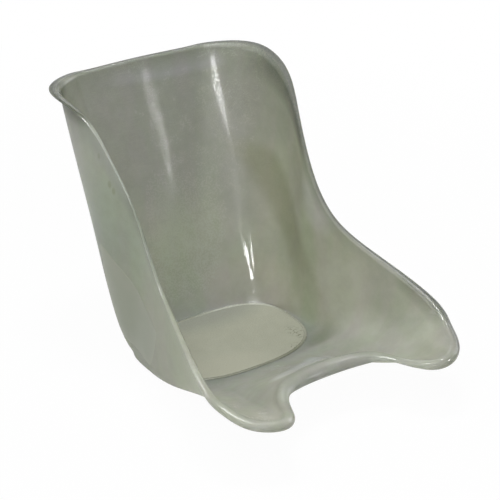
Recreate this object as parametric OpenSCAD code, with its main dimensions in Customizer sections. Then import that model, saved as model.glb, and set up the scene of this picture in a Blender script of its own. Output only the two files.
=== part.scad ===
// Bare glass-fibre kart seat: one lofted shell with a rim rolled all round, a flat pan to sit on the
// seat frame, two thigh horns, and the plies that are laminated to it.
// Millimetres. +Z is up, -Y is the front, +X is the sitter's left. The origin is the middle of the face
// that the seat rests on, under the pan.

/* [Back] */
// Height of the top edge's crest above the ground
back_height = 422.5; // [360:0.5:480]
// How far the ends of the top edge lie behind the middle of the pan
back_setback = 227; // [190:1:270]
// How far the middle of the top edge lies behind its ends
back_bow = 3.5; // [0:0.5:10]
// Width across the shoulders, from crest to crest
shoulder_width = 367; // [330:1:410]
// Height of the shoulders, where they are widest
shoulder_height = 417; // [360:1:460]
// Radius of the shoulders in plan, where the sides turn into the back
shoulder_round = 89; // [50:1:120]

/* [Sides] */
// Width at the waist, from crest to crest: the size that such seats are sold by
waist_width = 324; // [290:1:360]
// Height of the rim at the waist
waist_height = 289; // [250:1:320]
// How far the waist lies in front of the middle of the pan
waist_forward = 11; // [-10:1:40]
// Width across the thigh wings, from crest to crest
thigh_width = 416; // [370:1:460]
// Height of the rim at the thigh wings
thigh_height = 122; // [105:1:150]
// How far the widest part of the thigh wings lies in front of the middle of the pan
thigh_forward = 277; // [250:1:300]

/* [Front] */
// Distance between the tips of the two thigh horns
horn_spread = 304; // [270:1:330]
// How far the horn tips lie in front of the middle of the pan
horn_forward = 371; // [345:1:400]
// Height of the rim at the horn tips
horn_height = 93; // [80:1:110]
// Length over which a horn tip is rounded
horn_round = 55; // [40:1:65]
// How far the rim drops from a horn's tip along its inner flank
horn_dip = 13; // [6:1:20]
// How far the rim climbs from a horn's tip along its outer flank
horn_climb = 13; // [6:1:20]
// Width of the front edge between the horns
notch_width = 160; // [120:1:180]
// How far the middle of the front edge lies in front of the middle of the pan
notch_forward = 260; // [230:1:285]
// Height of the rim along the front edge
notch_height = 82; // [65:1:95]
// How far the ends of the front edge lie in front of its middle
notch_bow = 19; // [5:1:35]
// How far the ends of the front edge lie above its middle
notch_rise = 2; // [0:0.5:6]

/* [Pan] */
// Width of the flat pan
pan_width = 290; // [250:1:300]
// Length of the pan in front of its middle
pan_front = 112; // [90:1:130]
// Length of the pan behind its middle
pan_back = 92; // [75:1:110]
// Squareness of the pan's front corners, where 2 is an ellipse
pan_front_squareness = 2.65; // [2:0.05:4]
// Squareness of the pan's rear corners, where 2 is an ellipse
pan_back_squareness = 3.05; // [2:0.05:4]

/* [Wall] */
// Reach of the bend from the pan into the front ramp
front_bend = 28; // [15:1:45]
// Reach of the bend from the pan into the side walls
side_bend = 63; // [35:1:80]
// Reach of the bend from the pan into the back
back_bend = 27; // [20:1:60]
// How straight the wall runs into the rim, as a share of its height
wall_pull = 0.48; // [0.35:0.01:0.6]

/* [Rolled rim] */
// Radius of the roll along the front edge
front_lip = 19; // [12:0.5:24]
// Radius of the roll round the horns
horn_lip = 11; // [8:0.5:15]
// Radius of the roll along the waist
side_lip = 5; // [4.5:0.5:8]
// Radius of the roll at the shoulders
shoulder_lip = 13; // [8:0.5:16]
// Radius of the roll along the top edge
top_lip = 7; // [5:0.5:12]
// Angle through which the rim is rolled over
lip_wrap = 105; // [80:1:120]

/* [Laminate] */
// Thickness of the shell
shell_wall = 2.8; // [2:0.1:3.6]
// Thickness of the panel laid in the pan
floor_ply = 1.2; // [0.8:0.1:3]
// Thickness of the doubler under the pan
base_ply = 1.2; // [0.8:0.1:3]
// Distance from the pan's edge in to the edge of the doubler under it
base_inset = 5; // [2:0.5:20]
// Thickness of the doublers on the hips
hip_ply = 1.2; // [0.8:0.1:3]
// Thickness of a hip doubler along its feathered edge
feather = 0.3; // [0.2:0.05:0.6]

/* [Resin bead] */
// Distance from the pan's edge in to the bead
bead_inset = 1.2; // [1:0.1:4]
// Width of the bead of resin round the floor panel
bead_width = 5; // [3:0.5:9]
// How far the bead stands above the floor panel
bead_crown = 0.5; // [0.3:0.1:1.5]

/* [Hidden] */

stations_per_row = 3;
wall_steps = 12;
lip_steps = 6;
outline_points = 72;
spline_passes = 24;
// Least radius left on the hollow side of the rolled rim
least_lip_core = 1;
// The stretch of the rim and of the wall's rings that a hip doubler covers
hip_first_row = 9;
hip_last_row = 13;
hip_low_ring = 3;
hip_high_ring = 8;

// Each laminate colour is the resin's own green-grey, paler where the light comes through the floor.
shell_colour = [0.60, 0.61, 0.54];
floor_colour = [0.66, 0.67, 0.58];
bead_colour = [0.50, 0.52, 0.42];
doubler_colour = [0.55, 0.57, 0.48];

pan_underside = base_ply;
pan_topside = pan_underside + shell_wall;
panel_inset = bead_inset + bead_width;

UP = [0, 0, 1];

function mix(a, b, share) = a + (b - a) * share;
function unit(v) = v / norm(v);
function signed_power(x, exponent) = sign(x) * pow(abs(x), exponent);

// ---- Pan outline: two half superellipses that share the pan's width ----

function pan_point(angle, inset) =
    let (
        is_front = sin(angle) < 0,
        squareness = is_front ? pan_front_squareness : pan_back_squareness,
        length = (is_front ? pan_front : pan_back) - inset
    )
    [
        (pan_width / 2 - inset) * signed_power(cos(angle), 2 / squareness),
        length * signed_power(sin(angle), 2 / squareness)
    ];

function pan_outline(inset) =
    [for (i = [0:outline_points - 1]) pan_point(i * 360 / outline_points, inset)];

// ---- Rim: the crest line of the +X half, from the front middle to the back middle ----

thigh_point = [thigh_width / 2, -thigh_forward, thigh_height];
waist_point = [waist_width / 2, -waist_forward, waist_height];
shoulder_point = [shoulder_width / 2, back_setback - shoulder_round, shoulder_height];

// A point on the sweep between two named points, with its own share across, along and up.
function sweep(from, to, across, along, up) =
    [mix(from.x, to.x, across), mix(from.y, to.y, along), mix(from.z, to.z, up)];

// A point on the horn, measured from its tip in shares of the horn's rounding.
function horn_point(out, back, rise) =
    [horn_spread / 2 + out * horn_round, -horn_forward + back * horn_round, horn_height + rise];

// A point on the round of the shoulder, by its angle in plan.
function corner_point(angle) =
    [
        shoulder_width / 2 - shoulder_round * (1 - cos(angle)),
        back_setback - shoulder_round * (1 - sin(angle)),
        back_height
    ];

// Each row is one section of the shell: its crest point, the angle on the pan's outline from which it
// springs, how far its wall bulges in degrees, and the radius of its rolled lip.
rim_rows = [
    [[0, -notch_forward, notch_height], -90, 2, front_lip],
    [
        [notch_width / 2, -notch_forward - notch_bow, notch_height + notch_rise],
        -77, 1, mix(front_lip, horn_lip, 0.4)
    ],
    [horn_point(-0.7, 1, -horn_dip), -66, 2, horn_lip],
    [horn_point(-0.4, 0.33, -0.46 * horn_dip), -62, 4, horn_lip],
    [horn_point(0, 0, 0), -56, 1, horn_lip],
    [horn_point(0.6, 0.33, 0.31 * horn_climb), -50, -1, horn_lip],
    [horn_point(0.9, 1, horn_climb), -43, -4, horn_lip],
    [thigh_point, -33, -5, mix(horn_lip, side_lip, 0.17)],
    [sweep(thigh_point, waist_point, 0.35, 0.32, 0.19), -13, -2, mix(horn_lip, side_lip, 0.5)],
    [sweep(thigh_point, waist_point, 0.8, 0.65, 0.4), 0, -1, mix(horn_lip, side_lip, 0.85)],
    [sweep(thigh_point, waist_point, 1, 0.85, 0.66), 10, 1, side_lip],
    [waist_point, 25, 3, side_lip],
    [sweep(waist_point, shoulder_point, 0.52, 0.3, 0.52), 37.5, 4.5, side_lip],
    [sweep(waist_point, shoulder_point, 0.8, 0.61, 0.87), 50, 7.5, mix(side_lip, shoulder_lip, 0.65)],
    [shoulder_point, 67.5, 8.5, shoulder_lip],
    [corner_point(32), 75.5, 4, shoulder_lip],
    [corner_point(67), 81.5, 2.5, mix(shoulder_lip, top_lip, 0.55)],
    [corner_point(90), 85.5, 4, top_lip],
    [[0, back_setback + back_bow, back_height], 90, 3.5, top_lip]
];

half_rows = len(rim_rows) - 1;
row_count = 2 * half_rows;
station_count = row_count * stations_per_row;

// The spring angle is held as its lead over an even turn, so that the closed spline has no jump in it.
function even_turn(row) = -90 + 360 * row / row_count;

function flat_row(i) =
    let (
        is_mirrored = i > half_rows,
        row = rim_rows[is_mirrored ? row_count - i : i],
        crest = row[0],
        spring = is_mirrored ? 180 - row[1] : row[1]
    )
    [is_mirrored ? -crest.x : crest.x, crest.y, crest.z, spring - even_turn(i), row[2], row[3]];

flat_rows = [for (i = [0:row_count - 1]) flat_row(i)];

// Control points of the closed cubic spline that passes through every row.
function smooth_controls(rows, controls, passes) =
    passes == 0 ? controls :
    smooth_controls(rows, [
        for (i = [0:row_count - 1])
            (6 * rows[i] - controls[(i + row_count - 1) % row_count] - controls[(i + 1) % row_count]) / 4
    ], passes - 1);

controls = smooth_controls(flat_rows, flat_rows, spline_passes);

function spline_at(i, t) =
    (
        pow(1 - t, 3) * controls[(i + row_count - 1) % row_count]
        + (3 * pow(t, 3) - 6 * pow(t, 2) + 4) * controls[i]
        + (-3 * pow(t, 3) + 3 * pow(t, 2) + 3 * t + 1) * controls[(i + 1) % row_count]
        + pow(t, 3) * controls[(i + 2) % row_count]
    ) / 6;

stations = [
    for (i = [0:row_count - 1], j = [0:stations_per_row - 1])
        let (s = spline_at(i, j / stations_per_row))
        [[s[0], s[1], s[2]], s[3] + even_turn(i + j / stations_per_row), s[4], s[5]]
];

function crest(i) = stations[(i + station_count) % station_count][0];

// ---- Wall: a curve that leaves the pan level and runs into the rim, then the lip rolled outwards ----

function bend_reach(angle) =
    mix(side_bend, sin(angle) < 0 ? front_bend : back_bend, pow(sin(angle), 2));

function bezier(a, b, c, d, t) =
    pow(1 - t, 3) * a + 3 * pow(1 - t, 2) * t * b + 3 * (1 - t) * pow(t, 2) * c + pow(t, 3) * d;

function section(i) =
    let (
        top = crest(i),
        angle = stations[i][1],
        foot_xy = pan_point(angle, 0),
        foot = [foot_xy.x, foot_xy.y, pan_topside],
        away = unit([top.x - foot.x, top.y - foot.y, 0]),
        foot_handle = foot + bend_reach(angle) * away,
        span = top - foot_handle,
        across = span * away,
        lean = atan2(span.z, across) + stations[i][2],
        sideways = span - across * away - span.z * UP,
        rise = cos(lean) * away + sin(lean) * UP,
        top_handle = top - wall_pull * (norm(span) * rise + sideways),
        along = unit(crest(i + 1) - crest(i - 1)),
        run_out = unit(top - top_handle),
        into_lip = unit(run_out - (run_out * along) * along),
        over = cross(along, into_lip),
        lip = max(stations[i][3], shell_wall + least_lip_core)
    )
    concat(
        [for (k = [0:wall_steps]) bezier(foot, foot_handle, top_handle, top, k / wall_steps)],
        [
            for (k = [1:lip_steps + 1])
                let (turn = lip_wrap * k / lip_steps)
                top + lip * (sin(turn) * into_lip + (1 - cos(turn)) * over)
        ]
    );

// The sections carry one ring past the trimmed edge, which only serves to find the edge's normals.
last_ring = wall_steps + lip_steps;
inner_skin = [for (i = [0:station_count - 1]) section(i)];

function outward(i, k) =
    k == 0 ? -UP :
    let (
        ahead = inner_skin[(i + 1) % station_count][k],
        behind = inner_skin[(i + station_count - 1) % station_count][k],
        around = ahead - behind,
        upward = inner_skin[i][k + 1] - inner_skin[i][k - 1]
    )
    unit(cross(around, upward));

normals = [for (i = [0:station_count - 1]) [for (k = [0:last_ring]) outward(i, k)]];

outer_skin = [
    for (i = [0:station_count - 1])
        [for (k = [0:last_ring]) inner_skin[i][k] + shell_wall * normals[i][k]]
];

// Two triangles of a four-cornered facet. The left half's diagonals mirror the right half's.
function facet(a, b, c, d, is_first_half) =
    is_first_half ? [[a, b, c], [a, c, d]] : [[a, b, d], [b, c, d]];

function flatten(lists) = [for (list = lists, item = list) item];
function turned_over(faces) = [for (f = faces) [f[2], f[1], f[0]]];

// The facets of a sheet of points between two sections and two rings. at(i, k) is a point's index.
function sheet(first, last, low, high, at) =
    flatten([
        for (i = [first:last - 1], k = [low:high - 1])
            facet(at(i, k), at(i + 1, k), at(i + 1, k + 1), at(i, k + 1), i < station_count / 2)
    ]);

// ---- Parts ----

module seat_shell() {
    rings = last_ring + 1;
    inner_at = function (i, k) (i % station_count) * rings + k;
    outer_at = function (i, k) station_count * rings + (i % station_count) * rings + k;
    trimmed_edge = flatten([
        for (i = [0:station_count - 1])
            facet(
                inner_at(i, last_ring), inner_at(i + 1, last_ring),
                outer_at(i + 1, last_ring), outer_at(i, last_ring), i < station_count / 2
            )
    ]);
    pan_top = [for (i = [station_count - 1:-1:0]) inner_at(i, 0)];
    pan_bottom = [for (i = [0:station_count - 1]) outer_at(i, 0)];
    points = concat(
        [for (i = [0:station_count - 1], k = [0:last_ring]) inner_skin[i][k]],
        [for (i = [0:station_count - 1], k = [0:last_ring]) outer_skin[i][k]]
    );
    faces = concat(
        sheet(0, station_count, 0, last_ring, inner_at),
        turned_over(sheet(0, station_count, 0, last_ring, outer_at)),
        trimmed_edge,
        [pan_top, pan_bottom]
    );
    color(shell_colour)
        polyhedron(points, faces);
}

// The flat ply laid in the pan, inside the bead of resin.
module floor_panel() {
    color(floor_colour)
        translate([0, 0, pan_topside])
            linear_extrude(floor_ply)
                polygon(pan_outline(panel_inset));
}

// The resin squeezed out round the floor panel: a low crowned ring between the panel and the wall.
module resin_bead() {
    crown = floor_ply + bead_crown;
    // Each corner is its share of the bead's width, and its height.
    profile = [
        [0, 0],
        [0.2, 0.65 * crown],
        [0.5, crown],
        [0.8, 0.93 * crown],
        [1, floor_ply],
        [1, 0]
    ];
    corners = len(profile);
    points = [
        for (i = [0:outline_points - 1], corner = profile)
            let (xy = pan_point(i * 360 / outline_points, bead_inset + corner[0] * bead_width))
            [xy.x, xy.y, pan_topside + corner[1]]
    ];
    function at(i, j) = (i % outline_points) * corners + (j % corners);
    faces = flatten([
        for (i = [0:outline_points - 1], j = [0:corners - 1])
            facet(at(i, j), at(i, j + 1), at(i + 1, j + 1), at(i + 1, j), i < outline_points / 2)
    ]);
    color(bead_colour)
        polyhedron(points, faces);
}

// The ply under the pan, which carries the front seat brackets and is the face that the seat rests on.
module base_doubler() {
    color(doubler_colour)
        linear_extrude(base_ply)
            polygon(pan_outline(base_inset));
}

// The ply on the outside of the sitter's left hip, where the seat stay is bolted. It follows the shell's
// own facets, so it lies on the wall without a gap, and thins to a feathered edge.
module hip_doubler_left() {
    first = hip_first_row * stations_per_row;
    last = hip_last_row * stations_per_row;
    low = hip_low_ring;
    high = hip_high_ring;
    rings = high - low + 1;
    layer = (last - first + 1) * rings;
    bonded_at = function (i, k) (i - first) * rings + k - low;
    exposed_at = function (i, k) layer + bonded_at(i, k);
    function thickness(i, k) = i == first || i == last || k == low || k == high ? feather : hip_ply;
    points = concat(
        [for (i = [first:last], k = [low:high]) outer_skin[i][k]],
        [for (i = [first:last], k = [low:high]) outer_skin[i][k] + thickness(i, k) * normals[i][k]]
    );
    outline = concat(
        [for (i = [first:last]) [i, low]],
        [for (k = [low + 1:high]) [last, k]],
        [for (i = [last - 1:-1:first]) [i, high]],
        [for (k = [high - 1:-1:low + 1]) [first, k]]
    );
    sides = flatten([
        for (n = [0:len(outline) - 1])
            let (a = outline[n], b = outline[(n + 1) % len(outline)])
            facet(
                bonded_at(b[0], b[1]), bonded_at(a[0], a[1]),
                exposed_at(a[0], a[1]), exposed_at(b[0], b[1]), true
            )
    ]);
    faces = concat(
        sheet(first, last, low, high, bonded_at),
        turned_over(sheet(first, last, low, high, exposed_at)),
        sides
    );
    color(doubler_colour)
        polyhedron(points, faces);
}

module hip_doubler_right() {
    mirror([1, 0, 0])
        hip_doubler_left();
}

seat_shell();
floor_panel();
resin_bead();
base_doubler();
hip_doubler_left();
hip_doubler_right();
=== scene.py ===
# %% [markdown]
# # A bare racing seat for a kart
# The real object is one glass-fibre moulding. A maker waxes a male mould, rolls polyester resin through
# layers of chopped-strand mat, lets it set, pulls it off and trims the rim. Nothing is painted: the colour
# is the resin's own grey green, seen through a few millimetres of fibre.
#
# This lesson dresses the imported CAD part, which fixes every size. Each finer piece is made from the same
# named sizes and lies where the plain solid lies.

import math

import bpy
import numpy as np
from mathutils import Matrix, Vector


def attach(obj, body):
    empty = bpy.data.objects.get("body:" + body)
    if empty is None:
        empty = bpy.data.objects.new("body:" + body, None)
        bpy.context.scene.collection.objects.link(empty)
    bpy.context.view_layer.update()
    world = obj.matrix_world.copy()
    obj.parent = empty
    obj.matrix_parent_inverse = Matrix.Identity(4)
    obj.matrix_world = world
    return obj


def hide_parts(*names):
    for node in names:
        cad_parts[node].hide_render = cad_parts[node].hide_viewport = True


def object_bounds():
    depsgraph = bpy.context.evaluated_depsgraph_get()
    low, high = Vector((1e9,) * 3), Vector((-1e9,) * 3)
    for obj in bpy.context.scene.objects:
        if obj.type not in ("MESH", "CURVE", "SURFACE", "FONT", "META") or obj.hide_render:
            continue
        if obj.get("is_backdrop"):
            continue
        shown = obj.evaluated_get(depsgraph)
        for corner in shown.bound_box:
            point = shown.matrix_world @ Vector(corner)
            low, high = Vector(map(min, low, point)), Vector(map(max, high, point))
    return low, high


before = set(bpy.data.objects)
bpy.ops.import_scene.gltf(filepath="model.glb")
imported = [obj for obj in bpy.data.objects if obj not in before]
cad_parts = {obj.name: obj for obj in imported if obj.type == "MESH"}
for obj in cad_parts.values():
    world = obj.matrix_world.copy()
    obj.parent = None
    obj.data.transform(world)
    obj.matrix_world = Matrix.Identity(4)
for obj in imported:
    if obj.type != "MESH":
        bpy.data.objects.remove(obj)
bpy.context.view_layer.update()
cad_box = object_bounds()
print("CAD nodes:", sorted(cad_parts))
print("CAD box in metres:", [round(v, 4) for corner in cad_box for v in corner])

# %% [markdown]
# ## The sizes of the seat
# A seat could be traced point by point, but a maker thinks in a few sizes: how wide the hips are, how far
# the back leans, how big the roll of the rim is. They are kept here in millimetres, as on a drawing, and
# turned into metres only when a mesh is written.

# %% Name the sizes
MM = 0.001

BACK_HEIGHT, BACK_SETBACK, BACK_BOW = 422.5, 227, 3.5
SHOULDER_WIDTH, SHOULDER_HEIGHT, SHOULDER_ROUND = 367, 417, 89
WAIST_WIDTH, WAIST_HEIGHT, WAIST_FORWARD = 324, 289, 11
THIGH_WIDTH, THIGH_HEIGHT, THIGH_FORWARD = 416, 122, 277
HORN_SPREAD, HORN_FORWARD, HORN_HEIGHT, HORN_ROUND = 304, 371, 93, 55
HORN_DIP, HORN_CLIMB = 13, 13
NOTCH_WIDTH, NOTCH_FORWARD, NOTCH_HEIGHT, NOTCH_BOW, NOTCH_RISE = 160, 260, 82, 19, 2
PAN_WIDTH, PAN_FRONT, PAN_BACK = 290, 112, 92
PAN_FRONT_SQUARENESS, PAN_BACK_SQUARENESS = 2.65, 3.05
FRONT_BEND, SIDE_BEND, BACK_BEND, WALL_PULL = 28, 63, 27, 0.48
FRONT_LIP, HORN_LIP, SIDE_LIP, SHOULDER_LIP, TOP_LIP, LIP_WRAP = 19, 11, 5, 13, 7, 105
SHELL_WALL, FLOOR_PLY, BASE_PLY, HIP_PLY = 2.8, 1.2, 1.2, 1.2
BEAD_INSET, BEAD_WIDTH, BEAD_CROWN = 1.2, 5, 0.5

PAN_TOPSIDE = BASE_PLY + SHELL_WALL
PANEL_INSET = BEAD_INSET + BEAD_WIDTH
UP = np.array([0.0, 0.0, 1.0])
print("pan topside at", PAN_TOPSIDE, "mm, panel set in by", PANEL_INSET, "mm")

# %% [markdown]
# ## The pan's outline
# The flat pan is a rounded D. A rectangle with filleted corners has a visible jump where the arc meets the
# straight. A superellipse bends all the way round without a jump, so light runs smoothly over what is
# lofted from it. The front and the rear half share the width and have their own length and squareness.

# %% Write the pan's outline
def mix(a, b, share):
    return a + (b - a) * share


def unit(v):
    return v / np.linalg.norm(v, axis=-1, keepdims=True)


def pan_point(degrees, inset):
    angle = np.radians(degrees)
    is_front = np.sin(angle) < 0
    squareness = np.where(is_front, PAN_FRONT_SQUARENESS, PAN_BACK_SQUARENESS)
    length = np.where(is_front, PAN_FRONT, PAN_BACK) - inset
    across = np.sign(np.cos(angle)) * np.abs(np.cos(angle)) ** (2 / squareness)
    along = np.sign(np.sin(angle)) * np.abs(np.sin(angle)) ** (2 / squareness)
    return np.stack([(PAN_WIDTH / 2 - inset) * across, length * along], axis=-1)


print("pan corner points:", np.round(pan_point(np.array([-60, -30, 30, 60]), 0)).tolist())

# %% [markdown]
# ## The rim in rows
# The shell is set up as a boat builder sets up frames: nineteen sections stand along one half of the rim,
# and the other half is their mirror image. Each row says where the rim's crest is, from which angle on the
# pan its wall springs, how far the wall bulges and how big the rolled lip is there.

# %% Set up the rows of one half
def point(*values):
    return np.array(values, float)


def sweep(start, end, across, along, up):
    return start + (end - start) * point(across, along, up)


def horn_point(out, back, rise):
    return point(HORN_SPREAD / 2 + out * HORN_ROUND, -HORN_FORWARD + back * HORN_ROUND, HORN_HEIGHT + rise)


def corner_point(degrees):
    turn = math.radians(degrees)
    return point(
        SHOULDER_WIDTH / 2 - SHOULDER_ROUND * (1 - math.cos(turn)),
        BACK_SETBACK - SHOULDER_ROUND * (1 - math.sin(turn)),
        BACK_HEIGHT,
    )


THIGH = point(THIGH_WIDTH / 2, -THIGH_FORWARD, THIGH_HEIGHT)
WAIST = point(WAIST_WIDTH / 2, -WAIST_FORWARD, WAIST_HEIGHT)
SHOULDER = point(SHOULDER_WIDTH / 2, BACK_SETBACK - SHOULDER_ROUND, SHOULDER_HEIGHT)

NOTCH_END = point(NOTCH_WIDTH / 2, -NOTCH_FORWARD - NOTCH_BOW, NOTCH_HEIGHT + NOTCH_RISE)
RIM_ROWS = [
    (point(0, -NOTCH_FORWARD, NOTCH_HEIGHT), -90, 2, FRONT_LIP),
    (NOTCH_END, -77, 1, mix(FRONT_LIP, HORN_LIP, 0.4)),
    (horn_point(-0.7, 1, -HORN_DIP), -66, 2, HORN_LIP),
    (horn_point(-0.4, 0.33, -0.46 * HORN_DIP), -62, 4, HORN_LIP),
    (horn_point(0, 0, 0), -56, 1, HORN_LIP),
    (horn_point(0.6, 0.33, 0.31 * HORN_CLIMB), -50, -1, HORN_LIP),
    (horn_point(0.9, 1, HORN_CLIMB), -43, -4, HORN_LIP),
    (THIGH, -33, -5, mix(HORN_LIP, SIDE_LIP, 0.17)),
    (sweep(THIGH, WAIST, 0.35, 0.32, 0.19), -13, -2, mix(HORN_LIP, SIDE_LIP, 0.5)),
    (sweep(THIGH, WAIST, 0.8, 0.65, 0.4), 0, -1, mix(HORN_LIP, SIDE_LIP, 0.85)),
    (sweep(THIGH, WAIST, 1, 0.85, 0.66), 10, 1, SIDE_LIP),
    (WAIST, 25, 3, SIDE_LIP),
    (sweep(WAIST, SHOULDER, 0.52, 0.3, 0.52), 37.5, 4.5, SIDE_LIP),
    (sweep(WAIST, SHOULDER, 0.8, 0.61, 0.87), 50, 7.5, mix(SIDE_LIP, SHOULDER_LIP, 0.65)),
    (SHOULDER, 67.5, 8.5, SHOULDER_LIP),
    (corner_point(32), 75.5, 4, SHOULDER_LIP),
    (corner_point(67), 81.5, 2.5, mix(SHOULDER_LIP, TOP_LIP, 0.55)),
    (corner_point(90), 85.5, 4, TOP_LIP),
    (point(0, BACK_SETBACK + BACK_BOW, BACK_HEIGHT), 90, 3.5, TOP_LIP),
]
print("rows in one half:", len(RIM_ROWS))

# %% [markdown]
# ## One smooth line through all rows
# Straight lines between the rows would show as facets. A closed cubic spline passes through every row and
# keeps its bend continuous, which is what makes a highlight run on without a kink. The spring angle is
# stored as its lead over an even turn, because an angle that jumps from 359 to 0 would tear the spline.

# %% Run the spline through the rows
STATIONS_PER_ROW = 10


def closed_spline(rows, per_row):
    count = len(rows)
    itself = np.eye(count)
    system = (4 * itself + np.roll(itself, 1, axis=0) + np.roll(itself, -1, axis=0)) / 6
    controls = np.linalg.solve(system, rows)
    t = (np.arange(per_row) / per_row)[None, :, None]
    weights = [(1 - t) ** 3, 3 * t**3 - 6 * t**2 + 4, -3 * t**3 + 3 * t**2 + 3 * t + 1, t**3]
    total = sum(w * np.roll(controls, 1 - k, axis=0)[:, None] for k, w in enumerate(weights))
    return (total / 6).reshape(count * per_row, -1)


half = np.array([[*crest, spring, bulge, lip] for crest, spring, bulge, lip in RIM_ROWS], float)
mirrored = half[1:-1][::-1].copy()
mirrored[:, 0] *= -1
mirrored[:, 3] = 180 - mirrored[:, 3]
rows = np.vstack([half, mirrored])
rows[:, 3] -= -90 + 360 * np.arange(len(rows)) / len(rows)
stations = closed_spline(rows, STATIONS_PER_ROW)
STATION_COUNT = len(stations)
CRESTS, BULGES = stations[:, :3], stations[:, 4]
SPRINGS = stations[:, 3] - 90 + 360 * np.arange(STATION_COUNT) / STATION_COUNT
LIPS = np.maximum(stations[:, 5], SHELL_WALL + 1)
print("stations round the rim:", STATION_COUNT)

# %% [markdown]
# ## The wall and the rolled lip
# Each section leaves the pan level, bends up and runs into the rim, as mat drapes over a mould with soft
# corners. One cubic curve does that: its first handle lies flat on the pan and sets how soft the bend is,
# and its second points along the wall at the rim. The lip is an arc that goes on from there and turns
# outwards, which stiffens the edge and keeps it off the driver's ribs.

# %% Loft the inner skin
WALL_STEPS = 40
LIP_STEPS = 14


def wall_and_lip():
    foot_xy = pan_point(SPRINGS, 0)
    foot = np.column_stack([foot_xy, np.full(STATION_COUNT, PAN_TOPSIDE)])
    away = unit(np.column_stack([CRESTS[:, :2] - foot_xy, np.zeros(STATION_COUNT)]))
    sine = np.sin(np.radians(SPRINGS))
    reach = mix(SIDE_BEND, np.where(sine < 0, FRONT_BEND, BACK_BEND), sine**2)
    foot_handle = foot + reach[:, None] * away
    span = CRESTS - foot_handle
    across = (span * away).sum(1)
    lean = np.arctan2(span[:, 2], across) + np.radians(BULGES)
    sideways = span - across[:, None] * away - span[:, 2:] * UP
    rise = np.cos(lean)[:, None] * away + np.sin(lean)[:, None] * UP
    length = np.linalg.norm(span, axis=1)[:, None]
    top_handle = CRESTS - WALL_PULL * (length * rise + sideways)
    along = unit(np.roll(CRESTS, -1, axis=0) - np.roll(CRESTS, 1, axis=0))
    run_out = unit(CRESTS - top_handle)
    into_lip = unit(run_out - (run_out * along).sum(1)[:, None] * along)
    over = np.cross(along, into_lip)
    t = (np.arange(WALL_STEPS + 1) / WALL_STEPS)[None, :, None]
    wall = (
        (1 - t) ** 3 * foot[:, None]
        + 3 * (1 - t) ** 2 * t * foot_handle[:, None]
        + 3 * (1 - t) * t**2 * top_handle[:, None]
        + t**3 * CRESTS[:, None]
    )
    turn = (np.radians(LIP_WRAP) * np.arange(1, LIP_STEPS + 2) / LIP_STEPS)[None, :, None]
    rolled = np.sin(turn) * into_lip[:, None] + (1 - np.cos(turn)) * over[:, None]
    return np.concatenate([wall, CRESTS[:, None] + LIPS[:, None, None] * rolled], axis=1)


def skin_normals(skin):
    around = np.roll(skin, -1, axis=0) - np.roll(skin, 1, axis=0)
    normals = unit(np.cross(around, np.gradient(skin, axis=1)))
    normals[:, 0] = -UP
    return normals


inner_skin = wall_and_lip()
outward = skin_normals(inner_skin)[:, :-1]
inner_skin = inner_skin[:, :-1]
RINGS = inner_skin.shape[1]
print("inner skin:", STATION_COUNT, "stations by", RINGS, "rings")

# %% [markdown]
# ## From skins to a shell
# A Solidify modifier could thicken one skin, but the trimmed edge of a laminate isn't square: sanding
# rounds it. So the outer skin is made by moving every point out along its own normal by the thickness of
# the laminate, and a few rings between the two skins round the cut edge. The inner skin also gets slow
# waves a few hundredths of a millimetre high, which bend a reflection as real resin does.

# %% Helpers for meshes
FLOOR_RINGS = 8


def hand_laid_waves(points, height):
    x, y, z = points[..., 0], points[..., 1], points[..., 2]
    slow = np.sin(x / 17 + 2.1 * np.sin(y / 41)) * np.sin(z / 23 + 1.3 * np.sin(x / 37) + y / 31)
    quick = np.sin(x / 7.3 + z / 9.1 + 1.7) * np.sin(y / 8.7 - z / 11.3)
    return height * (slow + 0.35 * quick)[..., None]


def placed(name, data):
    made = bpy.data.objects.new(name, data)
    bpy.context.scene.collection.objects.link(made)
    return made


def as_piece(name, mesh):
    mesh.polygons.foreach_set("use_smooth", [True] * len(mesh.polygons))
    print(name, "has", len(mesh.polygons), "faces")
    return placed(name, mesh)


def new_piece(name, points, faces):
    mesh = bpy.data.meshes.new(name)
    mesh.from_pydata((np.asarray(points) * MM).tolist(), [], faces)
    return as_piece(name, mesh)


def ring_quads(count, low, high):
    i = np.arange(count)
    after = (i + 1) % count
    return np.stack([low + i, low + after, high + after, high + i], axis=1).tolist()


def centre_fan(count, ring, centre):
    return [[ring + i, ring + (i + 1) % count, centre] for i in range(count)]


def floor_rings(outline, height):
    shares = np.linspace(1, 0, FLOOR_RINGS + 1)[1:-1]
    flat = [np.column_stack([outline[:, :2] * s, np.full(len(outline), height)]) for s in shares]
    return flat + [np.array([[0, 0, height]])]


def stacked(rings, turned_over=False):
    count, faces = len(rings[0]), []
    for k in range(len(rings) - 1):
        if len(rings[k + 1]) == 1:
            faces += centre_fan(count, k * count, (k + 1) * count)
        else:
            faces += ring_quads(count, k * count, (k + 1) * count)
    return [face[::-1] for face in faces] if turned_over else faces


print("mesh helpers ready")

# %% [markdown]
# ### Closing the shell
# The rings run up the inner skin, round the cut edge and down the outer skin to the underside. Each flat
# floor is closed by rings that shrink to its middle, and the inner one shares its first ring with the wall.

# %% Make the shell's mesh
EDGE_STEPS, EDGE_BULGE = 5, 0.35
WAVE_HEIGHT = 0.02

settled = inner_skin + hand_laid_waves(inner_skin, WAVE_HEIGHT) * outward
settled[:, 0] = inner_skin[:, 0]
outer_skin = inner_skin + SHELL_WALL * outward
edge_in, edge_out = settled[:, -1], outer_skin[:, -1]
edge_way = unit(inner_skin[:, -1] - inner_skin[:, -2])
rounding = []
for step in range(1, EDGE_STEPS):
    turn = math.pi * step / EDGE_STEPS
    middle = mix(edge_in, edge_out, (1 - math.cos(turn)) / 2)
    rounding.append(middle + EDGE_BULGE * SHELL_WALL * math.sin(turn) * edge_way)

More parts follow.
